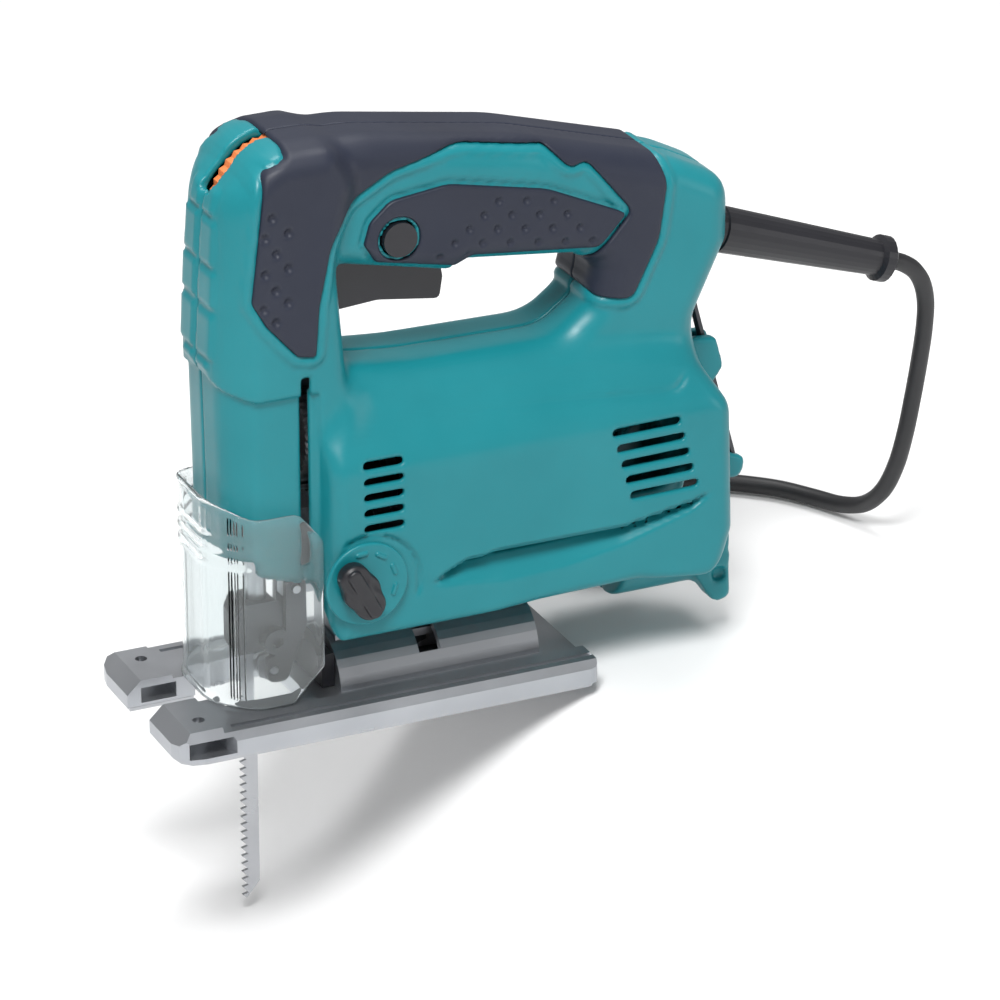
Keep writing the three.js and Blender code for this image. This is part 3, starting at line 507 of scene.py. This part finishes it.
BARREL = [
    (-18.5, 29), (-18.5, 100, 8), (-6, 122, 10), (74, 119, 20), (118, 112, 20), (130, 92, 14),
    (131.5, 46, 8), (124, 21, 4), (113, 27, 4), (94, 32), (58, 31), (40, 29),
]
BARREL_SECTION = [
    (-33, 18), (-33, 94, 14), (-19, 118, 10), (-15, 124, 3),
    (15, 124, 3), (19, 118, 10), (33, 94, 14), (33, 18),
]
SIDE_GRIP = [
    (-29, 215), (-26.5, 206, 3), (-28, 202.5, 3), (-37.5, 199, 4), (-42.8, 155, 4), (-38, 146.5, 3),
    (-27, 134, 3), (-20, 132.6, 2), (-18.5, 151, 10), (-14, 171, 16), (-6, 182.6, 14), (9.5, 191.2, 18),
    (34, 196, 24), (66, 190.4, 4), (74, 181.8, 5), (80.6, 183.2, 4), (96.8, 163.4, 3), (86, 151.3, 2),
    (80, 144), (84.5, 133.5, 3), (97.6, 131.6, 5),
    (107.6, 152, 20), (110.5, 172, 16), (106, 190), (105, 215),
]
PALM = [
    (-0.8, 167), (1.4, 174.6, 6), (9, 181.4, 8), (30, 184, 20), (66, 176.6, 30), (96, 163.2, 2),
    (85, 151.6, 4), (39.5, 156.2, 4), (33, 153.6, 3), (4, 159.4, 4),
]
HANDLE_HALF_WIDTH = 18.5
HEAD_HALF_WIDTH = 24
WALL = 2.6
SWEEP_RADIUS = 39.2
TILT_HEIGHT = 5
SEAM_GAP = 0.15
GRIP_THICKNESS = 1.5
NOZZLE_HEIGHT = 36
NOZZLE_RADIUS = 20
NOZZLE_BORE_RADIUS = 17
DIAL_ROOM_RADIUS = 24.7
DIAL_ROOM_HALF_WIDTH = 3.7
SCREW_WELL_RADIUS = 3.3
SCREW_BOSS_RADIUS = 4.6
# How far in front of the scale plate's centre the selector lever turns.
LEVER_OFFSET = 4
VENT_COUNT = 5

dial_centre = centre_mm("speed_dial")
lock_centre = centre_mm("lock_button")
scale_centre = centre_mm("orbit_scale_plate")
lever_pivot = (scale_centre[0] - LEVER_OFFSET, scale_centre[2])
guard_start = np.array((132.4, 0.0, 145.9))
guard_tip = np.array((207.0, 0.0, 120.8))
screw_places = [centre_mm(f"housing_screw_{i}") for i in range(1, 6)]


def body_field(v):
    """The closed outer form of both halves, without its details."""
    outline_distance = meet(side(v, LOOP), -side(v, LOOP_OPENING))
    loop = meet(outline_distance, np.abs(v.y) - HANDLE_HALF_WIDTH, 9)
    head = meet(side(v, HEAD), plan(v, HEAD_PLAN), 6)
    sweep = disc(v.y, v.z, (0, TILT_HEIGHT), SWEEP_RADIUS)
    barrel = cut(meet(side(v, BARREL), section(v, BARREL_SECTION), 6), sweep, 6)
    nozzle = meet(disc(v.y, v.z, (0, NOZZLE_HEIGHT), NOZZLE_RADIUS), between(v.x, 96, 136), 1.5)
    return join(join(join(loop, head, 5), barrel, 7), nozzle, 4)


FOLD_X = (17, 29, 44, 66, 88, 114, 124)
FOLD_TOP = (47.6, 53.0, 54.6, 54.4, 54.4, 59.0, 63.0)
FOLD_BOTTOM = (46.8, 45.6, 43.6, 44.6, 48.6, 56.6, 62.2)
FOLD_DEPTH = 6.0


def belly_fold(v):
    """The lens-shaped fold along the side: deep under its upper edge and fading out at its lower one."""
    top = np.interp(v.x, FOLD_X, FOLD_TOP)
    bottom = np.interp(v.x, FOLD_X, FOLD_BOTTOM)
    share = np.clip((v.z - bottom) / np.maximum(top - bottom, 0.1), 0, 1)
    ends = step_up(v.x, 16, 26) * (1 - step_up(v.x, 112, 123))
    return FOLD_DEPTH * share * (1 - step_up(v.z, top - 0.4, top + 0.5)) * ends


def selector_ring(v):
    """A groove in the left side, round the selector's scale."""
    centre = (scale_centre[0] + 1.6, scale_centre[2] - 3)
    band = np.abs(disc(v.x, v.z, centre, 18.6)) - 0.7
    shown = step_up(v.x, -15, -13) * step_up(v.z, 44, 47) * (v.y < -28)
    return 1.2 * inside_of(band, 0.5) * shown


# Each pad down the front: its height, how far it reaches from the seam, and half its own height.
PADS = ((186, 8.2, 4.0), (172.5, 10.5, 7.5), (157, 12.0, 6.2), (141, 12.0, 7.6), (130, 8.4, 1.6))


def front_pads(v):
    """Stepped pads down the head's front, on both sides of the seam."""
    raised = 0
    front = 1 - step_up(v.x, -43.5, -42)
    for height, reach, half_height in PADS:
        across = inside_of(np.abs(np.abs(v.y) - 1.4 - reach / 2) - reach / 2, 0.5)
        raised = np.maximum(raised, 1.3 * across * inside_of(np.abs(v.z - height) - half_height, 0.5))
    return raised * front


def detailed_body(v, plain):
    """The outer form with its steps, rims, creases and recesses."""
    grip = side(v, SIDE_GRIP)
    palm = side(v, PALM)
    cap_edge = 126 - 0.012 * v.y ** 2
    neck = (1 - step_up(v.z, cap_edge - 0.6, cap_edge + 0.6)) * (1 - step_up(v.x, -20, -18.5))
    field = plain + 1.8 * neck
    field = field - 1.0 * inside_of(np.abs(grip - 1.6) - 1.4, 0.5)
    field = field + 1.0 * inside_of(np.abs(palm - 0.6) - 0.5, 0.5)
    outside = step_up(np.abs(v.y), 26, 28)
    shoulder = np.abs(side(v, [(-8, 108, 8), (60, 104, 20), (114, 99, 10), (118, 130), (-8, 130)])) - 0.8
    field = field + 0.9 * inside_of(shoulder, 0.7) * outside
    field = field + belly_fold(v) * outside + selector_ring(v)
    field = field - front_pads(v)
    lock_ring = np.abs(disc(v.x, v.z, (lock_centre[0], lock_centre[2]), 6.9)) - 0.4
    field = field - 1.3 * inside_of(lock_ring, 0.3) * (v.y < 0)
    return field


def vents(v):
    """The two groups of slots in both sides."""
    slots = None
    for i in range(VENT_COUNT):
        front = tilted_box(v, (0.2, 71.8 + 5.6 * i), (7.2, 1.3), (1, 0))
        rear = tilted_box(v, (103.8 - 1.7 * i, 66.1 + 6 * i), (12.8, 1.4), (0.9998, 0.018))
        pair = join(front, rear)
        slots = pair if slots is None else join(slots, pair)
    return meet(slots, 24 - np.abs(v.y))


UPPER_CLIP = [(122, 107.6), (136.6, 106, 2), (139.6, 95, 3), (134.6, 88, 2), (122, 96)]
LOWER_CLIP = [(126, 66), (142, 61.4, 2), (149.6, 58.6, 3), (147.4, 51.4, 3.5), (130, 52)]
NOZZLE_LUG = [(120, 30), (126.6, 19, 4), (130.6, 12.4, 4), (137, 13.4, 4), (136, 30)]
REAR_SLOTS = (66, 71, 76, 81)
# Rooms cut through the shell: X from and to, Z from and to, and half the width.
ROOMS = (
    (-60, -24.8, 30, 62, 21), (-25.2, -17, 30, 56, 21),
    (-8.2, 35, 138, 160, 8.6), (-8.2, 4.2, 138, 168, 8.6),
)


def key_clips(v):
    """The two clips at the back that hold the hex key."""
    upper = meet(side(v, UPPER_CLIP), np.abs(v.y) - 6, 1.2)
    lower = meet(side(v, LOWER_CLIP), np.abs(v.y) - 5, 1.2)
    return join(upper, lower)


def nozzle_lug(v):
    """The lug on the nozzle's left side, with its pocket."""
    lug = meet(side(v, NOZZLE_LUG), between(v.y, -19, -9), 1.2)
    pocket = meet(side(v, [(129.4, 26, 2), (130.4, 20.6, 1.5), (135, 20.6, 1.5), (135, 26, 2)]), v.y + 16.4)
    return cut(lug, pocket, 1)


def other_side(v, low, high):
    """The grid of a mirrored piece: the same box and step, on the other side of the seam."""
    flipped = Volume((low[0], -high[1], low[2]), (high[0], -low[1], high[2]), v.step)
    flipped.low[1] = -v.y.ravel()[-1]
    return flipped


def housing_halves():
    """Both halves of the body, as one hollow shell that is parted at the seam."""
    low = np.minimum(box_mm("housing_left")[0], box_mm("housing_right")[0])
    high = np.maximum(box_mm("housing_left")[1], box_mm("housing_right")[1])
    v = Volume(low - 1, high + 1, 1.06)
    plain = body_field(v)
    outer = detailed_body(v, plain)
    outer = join(outer, key_clips(v), 1.5)
    outer = join(outer, nozzle_lug(v), 2.5)
    shell = cut(outer, np.maximum(outer, plain) + WALL)
    key_slot = meet(np.abs(v.y) - 1.9, meet(between(v.x, 120, 160), between(v.z, 40, 122)))
    shell = cut(shell, meet(key_slot, -plain), 0.3)
    shell = cut(shell, vents(v), 0.8)
    for height in REAR_SLOTS:
        slot = meet(between(v.z, height - 1.4, height + 1.4), 128 - v.x)
        slot = meet(slot, between(np.abs(v.y), 3.6, 14), 0.8)
        shell = cut(shell, slot, 0.5)
    for back_from, back_to, up_from, up_to, half_width in ROOMS:
        room = meet(between(v.x, back_from, back_to), between(v.z, up_from, up_to))
        shell = cut(shell, meet(room, np.abs(v.y) - half_width), 1)
    dial_room = disc(v.x, v.z, (dial_centre[0], dial_centre[2]), DIAL_ROOM_RADIUS)
    shell = cut(shell, meet(dial_room, np.abs(v.y) - DIAL_ROOM_HALF_WIDTH), 0.8)
    dial_mouth = meet(dial_room - 4.3, np.maximum(187 - v.z, v.x + 26))
    shell = cut(shell, meet(dial_mouth, np.abs(v.y) - 3.9, 0.8), 0.8)
    lock = meet(disc(v.x, v.z, (lock_centre[0], lock_centre[2]), 6.4), between(v.y, -40, -10))
    shell = cut(shell, lock, 0.6)
    lever_hole = meet(disc(v.x, v.z, lever_pivot, 4.4), between(v.y, -40, -20))
    shell = cut(shell, lever_hole)
    shell = cut(shell, meet(disc(v.y, v.z, (0, NOZZLE_HEIGHT), NOZZLE_BORE_RADIUS), between(v.x, 100, 142)), 0.6)
    direction = (guard_tip - guard_start) / np.linalg.norm(guard_tip - guard_start)
    along = (v.x - guard_start[0]) * direction[0] + (v.z - guard_start[2]) * direction[2]
    across = (v.z - guard_start[2]) * direction[0] - (v.x - guard_start[0]) * direction[2]
    shell = cut(shell, meet(np.hypot(across, v.y) - 8, np.abs(along) - 14), 0.5)
    groove = meet(meet(between(v.x, -25.2, -22), between(v.z, 58, 126)), 18.6 - np.abs(v.y))
    shell = cut(shell, groove, 0.4)
    for place in screw_places:
        well = meet(disc(v.x, v.z, (place[0], place[2]), SCREW_WELL_RADIUS), 14 - v.y)
        boss = meet(disc(v.x, v.z, (place[0], place[2]), SCREW_BOSS_RADIUS), meet(12 - v.y, plain + 0.5))
        shell = cut(join(shell, boss), well, 0.5)
    middle = int(np.searchsorted(v.y.ravel(), 0))
    left = np.maximum(shell, v.y + SEAM_GAP)[:, :middle + 3]
    right = np.maximum(shell, SEAM_GAP - v.y)[:, middle - 3:]
    left_half = surface("body_half_left", left, v, "teal_plastic", "housing")
    right_half = surface("body_half_right", right, v, "teal_plastic", "housing", middle - 3)
    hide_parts("housing_left")
    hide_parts("housing_right")


DIMPLES = [(-35.3, 184.2), (-37.9, 177.6), (-29.7, 178.3), (-34.0, 171.7), (-38.0, 165.1),
           (-29.8, 166.1), (-34.4, 158.9), (-38.7, 152.9), (-30.1, 154.2), (-34.4, 147.9)]
DIMPLE_RADIUS = 2.1


def grips():
    """The soft grip over the head and the handle, one on each side."""
    low, high = box_mm("grip_left")
    high[1] = 0.5
    v = Volume(low - 1, high + 1, 0.7)
    plain = body_field(v)
    outline_distance = side(v, SIDE_GRIP) + 0.3
    pits = np.zeros((v.shape[0], 1, v.shape[2]), np.float32)
    for x, z in DIMPLES:
        pits = np.maximum(pits, 1 - step_up(np.hypot(v.x - x, v.z - z), 0.6, DIMPLE_RADIUS))
    skin = meet(plain - GRIP_THICKNESS + 1.1 * pits, outline_distance, 1.0)
    skin = np.maximum(cut(skin, plain + 0.8), v.y + SEAM_GAP)
    dial_room = disc(v.x, v.z, (dial_centre[0], dial_centre[2]), DIAL_ROOM_RADIUS)
    skin = cut(skin, meet(dial_room, np.abs(v.y) - DIAL_ROOM_HALF_WIDTH), 0.5)
    left = surface("head_and_handle_grip_left", skin, v, "soft_grip", "housing")
    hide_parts("grip_left")
    flipped = other_side(v, low - 1, high + 1)
    right = surface("head_and_handle_grip_right", skin[:, ::-1].copy(), flipped, "soft_grip", "housing")
    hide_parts("grip_right")


DIMPLE_PITCH = 10.1
DIMPLE_ROW = 4.9


def palm_panels():
    """The dimpled panel in each side of the handle."""
    low, high = box_mm("palm_panel_left")
    low, high = (low[0] - 1, -22.5, low[2] - 1), (high[0] + 1, -15, high[2] + 1)
    v = Volume(low, high, 0.55)
    plain = body_field(v)
    outline_distance = side(v, PALM) + 0.4
    pits = np.zeros((v.shape[0], 1, v.shape[2]), np.float32)
    for row in range(6):
        for column in range(3 + row):
            x = 47.9 + DIMPLE_PITCH * column - 5.3 * row
            z = 175 - 0.145 * (x - 47.9) - DIMPLE_ROW * row
            pits = np.maximum(pits, 1 - step_up(np.hypot(v.x - x, v.z - z), 0.5, 1.8))
    pits = pits * inside_of(outline_distance + 2.0, 1.0)
    around_lock = disc(v.x, v.z, (lock_centre[0], lock_centre[2]), 7.5)
    skin = meet(plain - 1.3 + 0.9 * pits, cut(outline_distance, around_lock), 0.8)
    skin = cut(skin, plain + 0.6)
    left = surface("palm_pad_left", skin, v, "soft_grip", "housing")
    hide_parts("palm_panel_left")
    flipped = other_side(v, low, high)
    right = surface("palm_pad_right", skin[:, ::-1].copy(), flipped, "soft_grip", "housing")
    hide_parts("palm_panel_right")


def cover_outline(v, inset):
    """The cover's outline from above, moved in by a distance."""
    half, front = 27.2 - inset, -57 + inset
    corners = [(-5, -half), (-44, -half, 14), (front, -13, 16),
               (front, 13, 16), (-44, half, 14), (-5, half)]
    return polygon(rounded(corners, 20), v.x, v.y)


COVER_SIDE = [
    (-70, 9.9), (-70, 84), (-56, 84, 4), (-44, 79, 6),
    (-28, 79, 6), (-19.3, 68, 6), (-19.3, 22, 2), (-31, 9.9),
]


def clear_cover():
    """The clear guard: a thin wall with a thicker rim, and three ridges in front to push it by."""
    v = Volume((-59, -29, 9), (-17, 29, 85), 0.75)
    outer = cover_outline(v, 0.8)
    outline_distance = side(v, COVER_SIDE)
    rim = 0.7 * inside_of(np.abs(outline_distance + 1.2) - 1.0, 0.5)
    ridges = 0
    for i in range(3):
        ridge = inside_of(np.abs(v.z - 61 - 5 * i) - 0.8, 0.9)
        ridges = np.maximum(ridges, 0.8 * ridge * (1 - step_up(v.x, -46, -44)))
    outer = outer - np.maximum(ridges, rim)
    wall = cut(outer, cover_outline(v, 2.0))
    wall = meet(wall, outline_distance, 0.5)
    cover = surface("clear_blade_guard", wall, v, "clear_plastic", "cover")
    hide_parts("clear_cover")


KNOB_LEAN = (-0.47, 0.883)
MARK_ANGLES = (95, 58, 20, -18)
MARK_CIRCLE = 11.2


def selector_knob():
    """The selector's knob: two lobes, a hub and a raised ridge along them."""
    low, high = box_mm("orbit_lever")
    v = Volume((low[0] - 1, low[1], low[2] - 1), (high[0] + 1, -34.5, high[2] + 1),
               0.35)
    pivot = ((low[0] + high[0]) / 2, (low[2] + high[2]) / 2)
    lobes = None
    for end in (1, -1):
        centre = [pivot[i] + end * 5.6 * KNOB_LEAN[i] for i in range(2)]
        lobe = meet(disc(v.x, v.z, centre, 5.4), between(v.y, low[1] + 1.4, -36.5), 1.4)
        lobes = lobe if lobes is None else join(lobes, lobe, 7)
    hub = meet(disc(v.x, v.z, pivot, 6.6), between(v.y, -41, -36.5), 1)
    ridge = meet(tilted_box(v, pivot, (10.0, 2.4), KNOB_LEAN), between(v.y, low[1], -38), 0.8)
    stem = meet(disc(v.x, v.z, pivot, 4), between(v.y, -38, -34.6))
    knob = join(join(join(lobes, hub, 1.5), ridge, 0.4), stem)
    piece = surface("selector_knob", knob, v, "black_plastic", "orbit_lever")
    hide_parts("orbit_lever")


def selector_scale():
    """The raised disc under the knob, with its four marks."""
    low, high = box_mm("orbit_scale_plate")
    centre = ((low[0] + high[0]) / 2, (low[2] + high[2]) / 2)
    v = Volume((low[0] - 1, low[1] - 1, low[2] - 1), (high[0] + 1, high[1] + 1, high[2] + 1),
               0.35)
    plate = meet(disc(v.x, v.z, centre, 14.8), between(v.y, low[1] + 0.6, high[1]), 0.8)
    for angle in MARK_ANGLES:
        across, up = math.cos(math.radians(angle)), math.sin(math.radians(angle))
        place = [centre[0] - 1 + MARK_CIRCLE * across, centre[1] + MARK_CIRCLE * up]
        along = (up, -across)
        mark = meet(tilted_box(v, place, (2.2, 0.75), along), between(v.y, low[1], low[1] + 2), 0.3)
        plate = join(plate, mark, 0.4)
    stem_room = disc(v.x, v.z, lever_pivot, 4.5)
    piece = surface("selector_scale", cut(plate, stem_room), v, "teal_plastic", "housing")
    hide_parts("orbit_scale_plate")


housing_halves()
grips()
palm_panels()
clear_cover()
selector_knob()
selector_scale()

# ------------------------------------------------------------------ CAD pieces that stay

EDGE_ROUNDING = {"speed_dial": 0.25, "blade": 0.08, "trigger": 1.0, "base_plate": 0.4, "sole_cover": 0.25}

for name, node in frame["nodes"].items():
    if node.hide_render:
        continue
    slot_name = SLOT_OF[name]
    node.data.materials.clear()
    node.data.materials.append(MATERIALS[slot_name])
    rounding = node.modifiers.new("edges", "BEVEL")
    rounding.width = EDGE_ROUNDING.get(name, 0.3) * MM
    rounding.segments = 2
    rounding.limit_method = "ANGLE"
    rounding.angle_limit = math.radians(32)
    rounding.harden_normals = True
    node.data.polygons.foreach_set("use_smooth", [True] * len(node.data.polygons))

# ------------------------------------------------------------------ floor and light


def floor():
    """A pale sweep: at the sole's height under the cord, and below the blade's tip in front of it."""
    half, rows = 6.0, 240
    stops = np.sign(np.linspace(-1, 1, rows)) * np.abs(np.linspace(-1, 1, rows)) ** 3 * half
    verts, faces = [], []
    for x in stops:
        rise = float(step_up(x, -0.03, 0.09))
        height = -0.079 * (1 - rise) - 0.0008
        verts.extend([(x, -half, height), (x, half, height)])
    for i in range(rows - 1):
        faces.append((2 * i, 2 * i + 2, 2 * i + 3, 2 * i + 1))
    mesh = bpy.data.meshes.new("floor")
    mesh.from_pydata(verts, [], faces)
    mesh.polygons.foreach_set("use_smooth", [True] * len(faces))
    material = surface_material("pale_floor", (0.80, 0.80, 0.80), (0.82, 0.82, 0.82), 0.8, relief=0.00001)
    mesh.materials.append(material)
    plane = bpy.data.objects.new("floor", mesh)
    bpy.context.scene.collection.objects.link(plane)


def softbox(name, place, size, power):
    data = bpy.data.lights.new(name, "AREA")
    data.shape = "RECTANGLE"
    data.size, data.size_y = size
    data.energy = power
    light = bpy.data.objects.new(name, data)
    light.location = place
    light.rotation_euler = (CAMERA_TARGET - Vector(place)).to_track_quat("-Z", "Y").to_euler()
    bpy.context.scene.collection.objects.link(light)


floor()
softbox("key", (-0.5, -0.8, 1.5), (0.6, 0.6), 34)
softbox("fill", (1.4, -1.2, 0.5), (0.8, 0.8), 4)
softbox("top", (0.2, 0.5, 1.6), (1.0, 0.5), 14)
world = bpy.data.worlds.new("studio")
world.use_nodes = True
world.node_tree.nodes["Background"].inputs["Color"].default_value = (1, 1, 1, 1)
world.node_tree.nodes["Background"].inputs["Strength"].default_value = 0.42
bpy.context.scene.world = world
